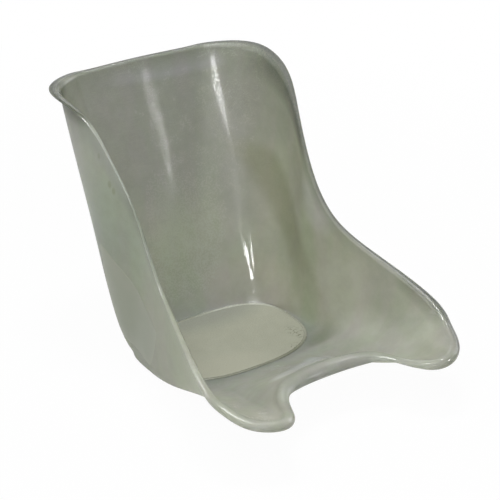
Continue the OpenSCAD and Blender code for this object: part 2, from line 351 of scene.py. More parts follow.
up_the_wall = [settled[:, k] for k in range(RINGS)]
down_the_wall = [outer_skin[:, k] for k in range(RINGS - 1, -1, -1)]
climb = up_the_wall + rounding + down_the_wall + floor_rings(outer_skin[:, 0], BASE_PLY)
descent = [settled[:, 0]] + floor_rings(settled[:, 0], PAN_TOPSIDE)
climb_points, descent_points = np.vstack(climb), np.vstack(descent)
offset = len(climb_points) - STATION_COUNT
joined = [[v if v < STATION_COUNT else v + offset for v in face] for face in stacked(descent)]
shell_points = np.vstack([climb_points, descent_points[STATION_COUNT:]])
shell = new_piece("shell", shell_points, stacked(climb, turned_over=True) + joined)

# %% [markdown]
# ## The floor panel
# A flat ply is laid in the pan to spread the driver's weight. It could stay a plain extrusion, but a real
# ply never lies dead flat: the roller leaves it a tenth of a millimetre uneven, and its cut edge is
# softened by resin. So its top is a set of rings drawn in towards the middle, with slow waves on them.

# %% Lay the floor panel
PANEL_ANGLES = np.arange(0, 360, 2.0)
PANEL_EDGE = 0.45
PANEL_RINGS, PANEL_WAVE, PANEL_WAVE_SCALE, WAVE_RISE = 26, 0.16, 0.6, 12


def outline_ring(inset, height):
    xy = pan_point(PANEL_ANGLES, inset)
    return np.column_stack([xy, np.full(len(xy), height)])


panel_base = PAN_TOPSIDE
panel_top = PAN_TOPSIDE + FLOOR_PLY
panel_rings = [outline_ring(PANEL_INSET, panel_base), outline_ring(PANEL_INSET, panel_top - PANEL_EDGE)]
for degrees in (30, 60, 90):
    turn = math.radians(degrees)
    drawn_in = PANEL_INSET + PANEL_EDGE * (1 - math.cos(turn))
    panel_rings.append(outline_ring(drawn_in, panel_top - PANEL_EDGE * (1 - math.sin(turn))))
rim_ring = panel_rings[-1]
for share in np.linspace(0.97, 0.04, PANEL_RINGS):
    ring = rim_ring * np.array([share, share, 1])
    waves = hand_laid_waves(ring * PANEL_WAVE_SCALE, PANEL_WAVE) * min(1, WAVE_RISE * (1 - share))
    panel_rings.append(ring + waves * UP)
panel_rings.append(np.array([[0, 0, panel_top]]))
panel_points = np.vstack(panel_rings)
underside = [list(range(len(PANEL_ANGLES)))[::-1]]
panel = new_piece("floor_ply", panel_points, stacked(panel_rings) + underside)

# %% [markdown]
# ## The line of resin round the panel
# Resin squeezes out from under the panel and sets as a low bead. It follows a path, so Geometry Nodes suit
# it: a circle curve is bent to the pan's own outline, noise makes it fatter and thinner, and a flat oval is
# swept along it. The sizes are named inputs, so another seat needs only other numbers.

# %% Helpers for node trees
FLOAT, VECTOR, GEOMETRY = "NodeSocketFloat", "NodeSocketVector", "NodeSocketGeometry"


def tree_of(*values):
    """The tree that the first socket among some values belongs to."""
    return next(value.id_data for value in values if isinstance(value, bpy.types.NodeSocket))


def add_node(tree, kind, **settings):
    made = tree.nodes.new(kind)
    for name, value in settings.items():
        setattr(made, name, value)
    return made


def feed(socket, value):
    if isinstance(value, bpy.types.NodeSocket):
        socket.id_data.links.new(value, socket)
    else:
        socket.default_value = value


def feed_named(node, **values):
    for name, value in values.items():
        feed(node.inputs[name.replace("_", " ")], value)


def outputs_of(tree, kind, settings=None, **values):
    """Adds a node, feeds the inputs that are named and returns its outputs."""
    made = add_node(tree, kind, **(settings or {}))
    feed_named(made, **values)
    return made.outputs


def wired(tree, kind, settings=None, **values):
    return outputs_of(tree, kind, settings, **values)[0]


def maths(operation, *values):
    """One Math node, or a row of them where there are more than two values."""
    made = add_node(tree_of(*values), "ShaderNodeMath", operation=operation)
    for socket, value in zip(made.inputs, values[:2]):
        feed(socket, value)
    if len(values) > 2:
        return maths(operation, made.outputs[0], *values[2:])
    return made.outputs[0]


def times(*values):
    return maths("MULTIPLY", *values)


def new_tree(name, kind, inputs, outputs):
    tree = bpy.data.node_groups.new(name, kind)
    for label, socket_type, value in inputs:
        socket = tree.interface.new_socket(label, in_out="INPUT", socket_type=socket_type)
        if value is not None:
            socket.default_value = value
    for label, socket_type in outputs:
        tree.interface.new_socket(label, in_out="OUTPUT", socket_type=socket_type)
    return tree, tree.nodes.new("NodeGroupInput").outputs, tree.nodes.new("NodeGroupOutput").inputs


def grown(name, tree, values):
    """Runs a Geometry Nodes tree on an empty mesh and returns the result as a plain piece."""
    carrier = placed(name + "_seed", bpy.data.meshes.new(name + "_seed"))
    modifier = carrier.modifiers.new("grow", "NODES")
    modifier.node_group = tree
    for item in tree.interface.items_tree:
        if item.in_out == "INPUT" and item.name in values:
            modifier[item.identifier] = values[item.name]
    bpy.context.view_layer.update()
    evaluated = carrier.evaluated_get(bpy.context.evaluated_depsgraph_get())
    mesh = bpy.data.meshes.new_from_object(evaluated)
    mesh.name = name
    bpy.data.objects.remove(carrier)
    return as_piece(name, mesh)


print("node helpers ready")

# %% [markdown]
# ### The bead's tree
# The outline is the pan's superellipse again, now written with Math nodes.

# %% Build the bead's tree
LUMPS_PER_METRE, LUMP_DETAIL, OVAL_SIDES = 38, 3, 12


def signed_root(wave, squareness):
    size = maths("ABSOLUTE", wave)
    rooted = maths("POWER", size, maths("DIVIDE", 2.0, squareness))
    return times(maths("SIGN", wave), rooted)


def either(test, when_true, when_false):
    sockets = {"Switch": test, "True": when_true, "False": when_false}
    return wired(tree_of(test), "GeometryNodeSwitch", {"input_type": "FLOAT"}, **sockets)


def pan_outline(tree, sizes):
    index = wired(tree, "GeometryNodeInputIndex")
    angle = maths("DIVIDE", times(index, math.tau), sizes["Points"])
    cosine, sine = maths("COSINE", angle), maths("SINE", angle)
    in_front = maths("LESS_THAN", sine, 0.0)
    squareness = either(in_front, sizes["Front squareness"], sizes["Back squareness"])
    length = either(in_front, sizes["Front length"], sizes["Back length"])
    across = times(signed_root(cosine, squareness), sizes["Half width"])
    along = times(signed_root(sine, squareness), length)
    return wired(tree, "ShaderNodeCombineXYZ", X=across, Y=along, Z=sizes["Height"])


def bead_along(tree, sizes, outline):
    circle = wired(tree, "GeometryNodeCurvePrimitiveCircle", Resolution=sizes["Points"])
    bent = wired(tree, "GeometryNodeSetPosition", Geometry=circle, Position=outline)
    lumps = wired(tree, "ShaderNodeTexNoise", Vector=outline, Scale=LUMPS_PER_METRE, Detail=LUMP_DETAIL)
    swing = times(maths("SUBTRACT", lumps, 0.5), sizes["Unevenness"])
    uneven = wired(tree, "GeometryNodeSetCurveRadius", Curve=bent, Radius=maths("ADD", 1.0, swing))
    level = wired(tree, "GeometryNodeSetCurveNormal", {"mode": "Z_UP"}, Curve=uneven)
    round_profile = wired(tree, "GeometryNodeCurvePrimitiveCircle", Resolution=OVAL_SIDES, Radius=1)
    squash = wired(tree, "ShaderNodeCombineXYZ", X=sizes["Bead half width"], Y=sizes["Bead rise"], Z=1)
    oval = wired(tree, "GeometryNodeTransform", Geometry=round_profile, Scale=squash)
    swept = wired(tree, "GeometryNodeCurveToMesh", Curve=level, Profile_Curve=oval)
    real = wired(tree, "GeometryNodeRealizeInstances", Geometry=swept)
    return wired(tree, "GeometryNodeSetMaterial", Geometry=real, Material=sizes["Resin"])


bead_tree, sizes, bead_out = new_tree("Resin bead round a pan", "GeometryNodeTree", [
    ("Geometry", GEOMETRY, None), ("Half width", FLOAT, 0.1), ("Height", FLOAT, 0.0),
    ("Front length", FLOAT, 0.1), ("Back length", FLOAT, 0.1),
    ("Front squareness", FLOAT, 2.0), ("Back squareness", FLOAT, 2.0),
    ("Bead half width", FLOAT, 0.002), ("Bead rise", FLOAT, 0.001), ("Unevenness", FLOAT, 0.3),
    ("Points", "NodeSocketInt", 240), ("Resin", "NodeSocketMaterial", None),
], [("Geometry", GEOMETRY)])
outline = pan_outline(bead_tree, sizes)
feed(bead_out["Geometry"], bead_along(bead_tree, sizes, outline))
print("bead tree has", len(bead_tree.nodes), "nodes")

# %% [markdown]
# ## Shared surface effects
# Chopped-strand mat shows as a faint print of short strands lying every way, and the resin over it is
# cloudy. Several finishes need both, so each effect is one shader node group with named inputs, built once
# and placed in each material with its own values. The groups read Object coordinates in metres, so the
# grain keeps its real size on every piece.

# %% Helpers for shader groups
def new_effect(name, outputs, **inputs):
    """A shader group that reads a place. Each other input is given here with its usual value."""
    sockets = [("Vector", VECTOR, None)]
    for label, value in inputs.items():
        kind = VECTOR if isinstance(value, tuple) else FLOAT
        sockets.append((label.replace("_", " "), kind, value))
    return new_tree(name, "ShaderNodeTree", sockets, [(label, FLOAT) for label in outputs])


def vectors(operation, first, second=None):
    """One Vector Math node. Three of its operations give a number, and the others a vector."""
    made = add_node(tree_of(first, second), "ShaderNodeVectorMath", operation=operation)
    feed(made.inputs[0], first)
    if second is not None:
        feed(made.inputs["Scale" if operation == "SCALE" else 1], second)
    gives_number = operation in ("LENGTH", "DISTANCE", "DOT_PRODUCT")
    return made.outputs["Value" if gives_number else "Vector"]


def clouds(where, scale, detail=2.0, roughness=0.5):
    sockets = {"Vector": where, "Scale": scale, "Detail": detail, "Roughness": roughness}
    return wired(tree_of(where), "ShaderNodeTexNoise", **sockets)


def stepped(value, low, high, to_low=0.0, to_high=1.0):
    """A soft step: to_low where the value is at low, and to_high where it is at high."""
    ends = {"From Min": low, "From Max": high, "To Min": to_low, "To Max": to_high}
    smoothly = {"interpolation_type": "SMOOTHSTEP"}
    return wired(tree_of(value), "ShaderNodeMapRange", smoothly, Value=value, **ends)


print("effect helpers ready")

# %% [markdown]
# ### Chopped strands
# One noise, stretched twenty to one, reads as a bundle of parallel hairs. Five of them, each turned another
# way and cut off so that only their peaks stay, read as strands thrown at random.

# %% Build the strand print
STRAND_TURNS = [(0, 0, 0), (0.2, 0.1, 1.1), (0.3, 0.9, 0.4), (0.8, 0.3, 1.9), (1.4, 0.6, 0.2)]
PEAK_GAIN = 6.0

tree, given, result = new_effect(
    "Strand print", ["Strands"], Strand_length=0.022, Strand_width=0.0011, Sparseness=0.6
)
width = given["Strand width"]
strand_size = wired(tree, "ShaderNodeCombineXYZ", X=given["Strand length"], Y=width, Z=width)
peaks = []
for turn in STRAND_TURNS:
    by_angles = {"rotation_type": "EULER_XYZ"}
    turned = wired(tree, "ShaderNodeVectorRotate", by_angles, Vector=given["Vector"], Rotation=turn)
    hairs = clouds(vectors("DIVIDE", turned, strand_size), 1.0, detail=0.0)
    over = maths("SUBTRACT", hairs, given["Sparseness"])
    peaks.append(times(maths("MAXIMUM", over, 0.0), PEAK_GAIN))
feed(result["Strands"], maths("MINIMUM", maths("MAXIMUM", *peaks), 1.0))
strand_print = tree
print("strand print has", len(strand_print.nodes), "nodes")

# %% [markdown]
# ### Cloudy resin and worn gel
# The resin is thicker in some hand-sized patches and thinner in others, and holds fine milky specks.
# Handling leaves hair scratches: the strand print again, longer and thinner, and only in some places.

# %% Build the clouds and the scratches
SCRATCH_SPARSENESS, WORN_PATCHES_PER_METRE = 0.68, 14.0

tree, given, result = new_effect(
    "Resin clouds", ["Patches", "Mottle", "Grain"],
    Patches_per_metre=7.0, Mottle_per_metre=42.0, Grain_per_metre=340.0,
)
for label, detail, roughness in (("Patches", 1.5, 0.5), ("Mottle", 3.0, 0.6), ("Grain", 0.0, 0.5)):
    feed(result[label], clouds(given["Vector"], given[label + " per metre"], detail, roughness))
resin_clouds = tree

tree, given, result = new_effect(
    "Hair scratches", ["Scratches"], Scratch_length=0.05, Scratch_width=0.0005, Amount=0.5
)
lines = wired(
    tree, "ShaderNodeGroup", {"node_tree": strand_print}, Vector=given["Vector"],
    Strand_length=given["Scratch length"], Strand_width=given["Scratch width"],
    Sparseness=SCRATCH_SPARSENESS,
)
patchy = stepped(clouds(given["Vector"], WORN_PATCHES_PER_METRE), 0.48, 0.62)
worn = times(lines, patchy, given["Amount"])
feed(result["Scratches"], maths("MINIMUM", worn, 1.0))
hair_scratches = tree
print("groups:", [group.name for group in bpy.data.node_groups])

# %% [markdown]
# ### Soft spots and streaks
# Hand-laid resin is darker in one place and paler in another, and many spots, and the one streak, also
# paint light and shade on the seat. A spot is a mask that is full at its centre and fades out at its reach,
# which may differ along each axis. A streak is a spot drawn out from one end to the other: each point is
# taken to the nearest place on the line between them.

# %% Build the spot and the streak
FADED_OUT, SPOT_CORE, STREAK_CORE = 1.2, 0.5, 0.3

tree, given, result = new_effect(
    "Soft spot", ["Mask"], Centre=(0, 0, 0), Reach=(0.1, 0.1, 0.1), Amount=1.0
)
from_centre = vectors("SUBTRACT", given["Vector"], given["Centre"])
away = vectors("LENGTH", vectors("DIVIDE", from_centre, given["Reach"]))
feed(result["Mask"], times(stepped(away, FADED_OUT, SPOT_CORE), given["Amount"]))
soft_spot = tree

tree, given, result = new_effect(
    "Soft streak", ["Mask"], Start=(0, 0, 0), Finish=(0.1, 0, 0), Width=0.01, Amount=1.0
)
whole = vectors("SUBTRACT", given["Finish"], given["Start"])
so_far = vectors("SUBTRACT", given["Vector"], given["Start"])
share = maths("DIVIDE", vectors("DOT_PRODUCT", so_far, whole), vectors("DOT_PRODUCT", whole, whole))
share = maths("MINIMUM", maths("MAXIMUM", share, 0.0), 1.0)
off_line = vectors("DISTANCE", so_far, vectors("SCALE", whole, share))
faded = stepped(maths("DIVIDE", off_line, given["Width"]), FADED_OUT, STREAK_CORE)
feed(result["Mask"], times(faded, given["Amount"]))
soft_streak = tree
print("spot and streak have", len(soft_spot.nodes), "and", len(soft_streak.nodes), "nodes")

# %% [markdown]
# ## The finishes
# Every finish is one Principled shader in resin, whose index is 1.5. What changes over the surface is fed
# to it by nodes, and what doesn't is set once, when the finish is made.

# %% Helpers for finishes
RESIN_IOR = 1.5


def rgb(*values):
    return (*values, 1.0)


def blended(share, first, second, blend_type="MIX"):
    tree = tree_of(share, first, second)
    mixer = add_node(tree, "ShaderNodeMix", data_type="RGBA", blend_type=blend_type)
    for number, value in ((0, share), (6, first), (7, second)):
        feed(mixer.inputs[number], value)
    return mixer.outputs[2]


def placed_effect(group, where, **values):
    return outputs_of(tree_of(where), "ShaderNodeGroup", {"node_tree": group}, Vector=where, **values)


def tinted(where, tone, places, mask=None):
    """Lays a soft spot of its own tint over each place, and only where the mask is."""
    for centre, reach, tint, amount in places:
        values = {"Centre": centre, "Reach": reach, "Amount": amount}
        spot = placed_effect(soft_spot, where, **values)["Mask"]
        share = spot if mask is None else times(spot, mask)
        tone = blended(share, tone, tint)
    return tone


def marked(tree, name):
    return add_node(tree, "ShaderNodeAttribute", attribute_name=name).outputs["Fac"]


def cleared_tree(owner):
    owner.use_nodes = True
    owner.node_tree.nodes.clear()
    return owner.node_tree


def new_finish(name, **constants):
    material = bpy.data.materials.new(name)
    tree = cleared_tree(material)
    shader = tree.nodes.new("ShaderNodeBsdfPrincipled")
    feed_named(shader, IOR=RESIN_IOR, **constants)
    feed(tree.nodes.new("ShaderNodeOutputMaterial").inputs["Surface"], shader.outputs[0])
    return material, tree, shader, add_node(tree, "ShaderNodeTexCoord").outputs["Object"]


def bumped(height, distance):
    return wired(tree_of(height), "ShaderNodeBump", Height=height, Distance=distance)


print("finish helpers ready")

# %% [markdown]
# ### The laminate's tints
# The resin is a clear greenish grey, milky on the ramp and the horns, brownish where it pools beside the
# pan and pale where it runs out. Other places are painted light and shade: slate is painted shade on the
# back, the far wall and the far horn, the foot of the ramp is made paler as painted light, the brownish
# pool and the far thigh are lightened partly as painted light, and small dark marks under the near lip are
# painted shadow.
# Each place below is a centre and a reach in metres, a tint and an amount.

# %% Name the tints and their places
GREY, GREEN, OLIVE = rgb(0.265, 0.278, 0.248), rgb(0.262, 0.29, 0.238), rgb(0.155, 0.162, 0.128)
MILKY, SLATE_SHADE, BROWN_POOL_AND_LIGHT = rgb(0.36, 0.37, 0.325), rgb(0.195, 0.205, 0.2), rgb(0.318, 0.31, 0.278)
RIM_TINT_AND_SHADE, SHADOWY, PAINTED_SHEEN = rgb(0.155, 0.17, 0.158), rgb(0.05, 0.055, 0.06), rgb(0.8, 0.82, 0.82)
DEEP_OLIVE, SCRATCHED = rgb(0.15, 0.16, 0.105), rgb(0.46, 0.47, 0.42)

TINT_AND_PAINTED_LIGHT_PLACES = [
    # painted shade: slate over the back and the far wall
    ((0.0, 0.2, 0.36), (0.3, 0.11, 0.24), SLATE_SHADE, 1.0),
    ((0.14, 0.15, 0.23), (0.05, 0.07, 0.13), SLATE_SHADE, 0.7),
    # brownish where resin pools beside the pan, and lightened there as painted light
    ((0.13, 0.08, 0.03), (0.11, 0.09, 0.06), BROWN_POOL_AND_LIGHT, 0.8),
    # darker in the crease at the pan's far front corner: pooled resin, and painted shade there
    ((0.142, -0.108, 0.012), (0.04, 0.035, 0.03), rgb(0.13, 0.14, 0.09), 0.45),
    # painted light at the foot of the ramp, on its far side
    ((0.1, -0.135, 0.01), (0.06, 0.025, 0.03), rgb(0.385, 0.405, 0.34), 0.8),
    ((-0.18, 0.0, 0.22), (0.03, 0.14, 0.13), rgb(0.21, 0.252, 0.202), 0.5),
    # painted shade: slate again, and darker still, at the back's far top corner
    ((0.17, 0.13, 0.38), (0.06, 0.12, 0.13), SLATE_SHADE, 0.7),
    ((0.165, 0.17, 0.37), (0.03, 0.06, 0.07), rgb(0.16, 0.17, 0.168), 0.7),
    ((0.06, 0.22, 0.41), (0.16, 0.03, 0.025), rgb(0.3, 0.305, 0.35), 0.8),
    ((0.165, -0.05, 0.235), (0.03, 0.05, 0.06), rgb(0.345, 0.348, 0.368), 0.7),
    # painted light: the foot of the ramp made paler where it lies in shade
    ((0.0, -0.18, 0.03), (0.22, 0.09, 0.07), rgb(0.375, 0.39, 0.33), 0.9),
    # paler and bluer on the far thigh: a cooler tint, and partly painted light
    ((0.17, -0.12, 0.08), (0.05, 0.09, 0.08), rgb(0.335, 0.332, 0.32), 0.7),
    # painted shadow: three small dark marks where the near lip's edge shades the wall below it
    ((-0.182, 0.057, 0.359), (0.01, 0.003, 0.006), DEEP_OLIVE, 0.7),
    ((-0.177, 0.034, 0.318), (0.01, 0.004, 0.007), DEEP_OLIVE, 0.5),
    ((-0.176, 0.026, 0.309), (0.01, 0.004, 0.007), DEEP_OLIVE, 0.5),
    # painted shade: slate on the far horn
    ((0.195, -0.22, 0.125), (0.06, 0.09, 0.08), SLATE_SHADE, 0.6),
    ((-0.2, -0.06, 0.1), (0.07, 0.22, 0.13), rgb(0.27, 0.285, 0.226), 0.7),
    # painted shade at the far horn's front
    ((0.175, -0.345, 0.09), (0.05, 0.06, 0.04), rgb(0.265, 0.27, 0.24), 0.7),
    # takes back a little of that painted light on the ramp's far shoulder
    ((0.13, -0.17, 0.025), (0.05, 0.04, 0.03), rgb(0.265, 0.278, 0.23), 0.2),
]
RIM_PAINTED_SHADE_AND_HIGHLIGHT = [
    # painted shade on the near thigh's crest
    ((-0.21, -0.26, 0.135), (0.04, 0.06, 0.04), rgb(0.21, 0.225, 0.19), 0.6),
    # painted highlight on the near rim's upper crest
    ((-0.18, 0.03, 0.36), (0.04, 0.08, 0.08), rgb(0.28, 0.295, 0.28), 0.8),
    # painted shade on the lip at the two top corners
    ((-0.2, 0.14, 0.43), (0.06, 0.09, 0.04), rgb(0.04, 0.048, 0.042), 1.0),
    ((0.17, 0.06, 0.37), (0.06, 0.12, 0.09), rgb(0.06, 0.07, 0.075), 0.9),
    # painted shade on the far horn's lip
    ((0.22, -0.26, 0.13), (0.05, 0.06, 0.05), rgb(0.13, 0.14, 0.132), 0.7),
]
# painted sheen: a pale streak that stands for a reflection across the ramp
RAMP_PAINTED_SHEEN = {
    "Start": (-0.042, -0.236, 0.063), "Finish": (0.072, -0.173, 0.022), "Width": 0.026, "Amount": 0.52,
}
print("tinted places:", len(TINT_AND_PAINTED_LIGHT_PLACES), "and", len(RIM_PAINTED_SHADE_AND_HIGHLIGHT), "on the rim")

# %% [markdown]
# ### Colour the walls
# Light enters the laminate, spreads in it and comes out again, so the body is all subsurface, and that
# softens every tint over about a finger's width. The far wall also has a slanted olive band, where a second
# ply lies under it. It is measured along a slanting direction, by a dot product. Each soft step on a
# place runs from its first to its second number, in metres.

# %% Colour the walls
MILKY_SHARE, BAND_SLANT = 0.9, (0, 0.784, -0.622)

laminate, tree, shader, where = new_finish(
    "laminate", Specular_IOR_Level=0.3, Coat_Roughness=0.35, Coat_IOR=RESIN_IOR,
    Subsurface_Weight=1.0, Subsurface_Scale=0.02, Subsurface_Radius=(1.0, 1.0, 0.8),
)
side, depth, height = outputs_of(tree, "ShaderNodeSeparateXYZ", Vector=where)
resin = placed_effect(resin_clouds, where)

tone = blended(stepped(resin["Patches"], 0.38, 0.62), GREY, GREEN)
tone = blended(stepped(depth, -0.1, -0.32, 0.0, MILKY_SHARE), tone, MILKY)
tone = tinted(where, tone, TINT_AND_PAINTED_LIGHT_PLACES)
across_band = vectors("DOT_PRODUCT", where, BAND_SLANT)
in_band = (stepped(across_band, -0.105, -0.08), stepped(across_band, -0.02, -0.05))
below_waist = (stepped(height, 0.285, 0.25), stepped(height, 0.03, 0.16, 0.25, 1.0))
on_far_wall = stepped(side, 0.11, 0.15, 0.0, 0.75)
tone = blended(times(*in_band, *below_waist, on_far_wall), tone, OLIVE)
print("walls coloured with", len(tree.nodes), "nodes")

# %% [markdown]
# ### Shade the rim
# The rolled rim has a cooler tint of its own, darkened as painted shade, fuller towards the back, and four
# places on it get more painted shade and one a painted highlight. Where the lip of the far side and of the
# top curls away, it is dull, and dark with painted shadow. A painted sheen lies across the ramp as a pale
# streak.

# %% Shade the rim
SHADOW_SHARE = 0.8

rim = marked(tree, "rim")
more_behind = stepped(depth, -0.15, 0.05, 0.4, 1.0)
# painted shade on the rolled rim, with its cooler tint, fuller towards the back
tone = blended(times(rim, more_behind), tone, RIM_TINT_AND_SHADE)
# more painted shade on the rim, and one painted highlight
tone = tinted(where, tone, RIM_PAINTED_SHADE_AND_HIGHLIGHT, rim)
far_or_behind = maths("MAXIMUM", stepped(side, 0.02, 0.1), stepped(depth, 0.12, 0.2))
above_ramp = times(far_or_behind, stepped(height, 0.11, 0.16))
far_or_top = maths("MAXIMUM", above_ramp, stepped(side, 0.175, 0.2))
turned_away = times(stepped(marked(tree, "curl"), 0.25, 0.75), far_or_top)
# painted shadow on the lip where it curls away
tone = blended(times(turned_away, SHADOW_SHARE), tone, SHADOWY)
# painted sheen across the ramp
tone = blended(placed_effect(soft_streak, where, **RAMP_PAINTED_SHEEN)["Mask"], tone, PAINTED_SHEEN)
print("rim shaded,", len(tree.nodes), "nodes")

# %% [markdown]
# ### Break up the colour
# Resin runs down a wall before it sets, so tall smears tilt the colour between green and pink. Mottle, the
# strands and the scratches go over them.

# %% Break up the colour
SMEARS_PER_METRE, STRAND_SHARE, SCRATCH_SHARE = (24.0, 24.0, 5.0), 0.1, 0.35
GREENER, PINKER = rgb(0.97, 1.0, 0.96), rgb(1.03, 1.0, 1.03)

strands = placed_effect(strand_print, where)["Strands"]
scratches = placed_effect(hair_scratches, where, Amount=0.6)["Scratches"]
smear = stepped(clouds(vectors("MULTIPLY", where, SMEARS_PER_METRE), 1.0), 0.36, 0.64)
tone = blended(1.0, tone, blended(smear, GREENER, PINKER), "MULTIPLY")
tone = vectors("SCALE", tone, stepped(resin["Mottle"], 0.25, 0.75, 0.94, 1.05))
tone = blended(times(strands, STRAND_SHARE), tone, MILKY)
tone = blended(times(scratches, SCRATCH_SHARE), tone, SCRATCHED)
feed(shader.inputs["Base Color"], tone)
print("colour fed,", len(tree.nodes), "nodes")

# %% [markdown]
# ### The laminate's gloss
# The inside has copied the polished mould and is glossy. The outside never touched it and is dull. Fine
# roughness on the back breaks up the streaks of light there, and the far corner is pebbled by its mat.
# Only the ramp and the horns have a thin coat of extra resin.

# %% Set the laminate's gloss
OUTSIDE_ROUGH, FOOT_ROUGH, SPECKLE_ROUGH, CURL_ROUGH, SCRATCH_ROUGH = 0.35, 0.16, 0.22, 0.45, 0.2
PEBBLES, RESIN_RELIEF = 5.0, 0.000008

on_the_back = times(stepped(depth, 0.1, 0.14), stepped(side, -0.05, -0.02))
rough = maths(
    "ADD", stepped(resin["Mottle"], 0.3, 0.7, 0.03, 0.06),
    times(marked(tree, "outside"), OUTSIDE_ROUGH),
    times(stepped(side, 0.12, 0.05), stepped(height, 0.26, 0.12, 0.0, FOOT_ROUGH)),
    times(stepped(resin["Grain"], 0.44, 0.58, 0.0, SPECKLE_ROUGH), on_the_back),
    times(turned_away, CURL_ROUGH), times(scratches, SCRATCH_ROUGH),
)
at_corner = times(stepped(side, 0.1, 0.14), stepped(height, 0.16, 0.26))
pebbled = maths("ADD", times(at_corner, PEBBLES), 1.0)
relief = times(resin["Grain"], pebbled)
feed_named(
    shader, Roughness=rough, Coat_Weight=stepped(depth, -0.1, -0.26, 0.0, 0.12),
    Normal=bumped(relief, RESIN_RELIEF),
)
print("laminate has", len(tree.nodes), "nodes")

# %% [markdown]
# ## The panel, the bead and the doubler below
# The floor ply is the same laminate laid dry, so it is paler, rougher and shows its strands, and at one
# corner it frays into short dark hairs. Its tints are lightened further as painted light, most at its
# front, with painted shade at its back. The bead is clear glossy resin, darker in the front crease from
# pooled resin and painted shade, with a painted highlight along its back. The doubler under the pan is a
# darker second ply.
# All three are one function with other values.

# %% Finish the plies and the bead
HAIRS_PER_METRE, HAIR_LEVEL = 120.0, 0.5
PANEL_HAIRS = [
    ((0.114, -0.052, 0.005), (0.014, 0.026, 0.01), DEEP_OLIVE, 1.0),
    ((0.088, -0.093, 0.005), (0.014, 0.012, 0.01), DEEP_OLIVE, 1.0),
]
PANEL_PAINTED_SHADE_AND_LIGHT = [
    # painted shade at the back of the pan, under the back wall
    ((0.03, 0.11, 0.01), (0.15, 0.08, 0.05), rgb(0.27, 0.28, 0.232), 0.9),
    # painted light at the front of the pan
    ((-0.05, -0.09, 0.01), (0.09, 0.05, 0.05), rgb(0.43, 0.43, 0.335), 0.8),
]
BEAD_POOLING_AND_PAINTED_LIGHT = [
    # darker in the front crease: pooled resin, and painted shade there
    ((0.0, -0.15, 0.01), (0.2, 0.1, 0.05), rgb(0.205, 0.215, 0.155), 0.9),
    ((0.14, -0.04, 0.01), (0.04, 0.06, 0.05), rgb(0.33, 0.335, 0.275), 0.8),
    # painted highlight along the back of the bead
    ((0.08, 0.06, 0.01), (0.08, 0.06, 0.05), rgb(0.46, 0.47, 0.4), 0.9),
]


def ply_finish(name, tints, strand_share, roughness, coat, relief_size, places=(), frayed=()):
    material, tree, shader, where = new_finish(
        name, Coat_Roughness=0.14, Coat_IOR=RESIN_IOR, Specular_IOR_Level=0.4
    )
    resin = placed_effect(resin_clouds, where)
    strands = placed_effect(strand_print, where, Sparseness=0.56)["Strands"]
    tone = blended(stepped(resin["Mottle"], 0.3, 0.7), *tints)
    tone = tinted(where, tone, places)
    if frayed:
        off_level = maths("SUBTRACT", clouds(where, HAIRS_PER_METRE, 1.0), HAIR_LEVEL)
        hairs = stepped(maths("ABSOLUTE", off_level), 0.01, 0.05, 1.0, 0.0)
        tone = tinted(where, tone, frayed, hairs)
    tone = blended(times(strands, strand_share), tone, MILKY)
    relief = maths("ADD", times(strands, 0.8), resin["Grain"])
    feed_named(
        shader, Base_Color=tone, Normal=bumped(relief, relief_size),
        Roughness=stepped(resin["Grain"], 0.3, 0.7, roughness - 0.06, roughness + 0.06),
        Coat_Weight=stepped(resin["Patches"], 0.3, 0.7, coat * 0.7, coat),
    )
    return material


# the panel's pale tints are lightened further as painted light
panel_finish = ply_finish(
    "floor_ply", (rgb(0.395, 0.402, 0.315), rgb(0.37, 0.375, 0.29)), strand_share=0.25,
    roughness=0.45, coat=0.1, relief_size=0.0002, places=PANEL_PAINTED_SHADE_AND_LIGHT, frayed=PANEL_HAIRS,
)
bead_finish = ply_finish(
    "clear_resin", (rgb(0.29, 0.3, 0.24), rgb(0.33, 0.34, 0.27)), strand_share=0.0,
    roughness=0.22, coat=0.4, relief_size=0.0001, places=BEAD_POOLING_AND_PAINTED_LIGHT,
)
doubler_finish = ply_finish(
    "doubler_ply", (rgb(0.262, 0.29, 0.225), rgb(0.245, 0.27, 0.205)), strand_share=0.2,
    roughness=0.5, coat=0.2, relief_size=0.0002,
)
print("finishes:", [material.name for material in bpy.data.materials])

# %% [markdown]
# ### The plies on the hips
# A wetted-out patch lets light through to the wall that it lies on. So it is solid to the camera, and
# shadow rays and diffuse rays pass it by. Its middle, where it has its full thickness, is a little darker.

# %% Finish the hip plies
HIP_TINTS = (rgb(0.296, 0.318, 0.248), rgb(0.308, 0.322, 0.258))
HIP_MIDDLE = rgb(0.278, 0.305, 0.235)

hip_finish, tree, shader, where = new_finish("hip_ply", Specular_IOR_Level=0.4, Roughness=0.45)
resin = placed_effect(resin_clouds, where)
tone = blended(stepped(resin["Mottle"], 0.3, 0.7), *HIP_TINTS)
tone = blended(stepped(marked(tree, "ply"), 0.2, 1.0, 0.0, 0.5), tone, HIP_MIDDLE)
rays = add_node(tree, "ShaderNodeLightPath").outputs
passed_by = maths("MAXIMUM", rays["Is Shadow Ray"], rays["Is Diffuse Ray"])
feed_named(shader, Base_Color=tone, Alpha=maths("SUBTRACT", 1.0, passed_by))
print("hip ply has", len(tree.nodes), "nodes")

# %% [markdown]
# ## Grow the resin line
# With its finish ready, the bead's tree can run. The result is a plain mesh, which any program can read.

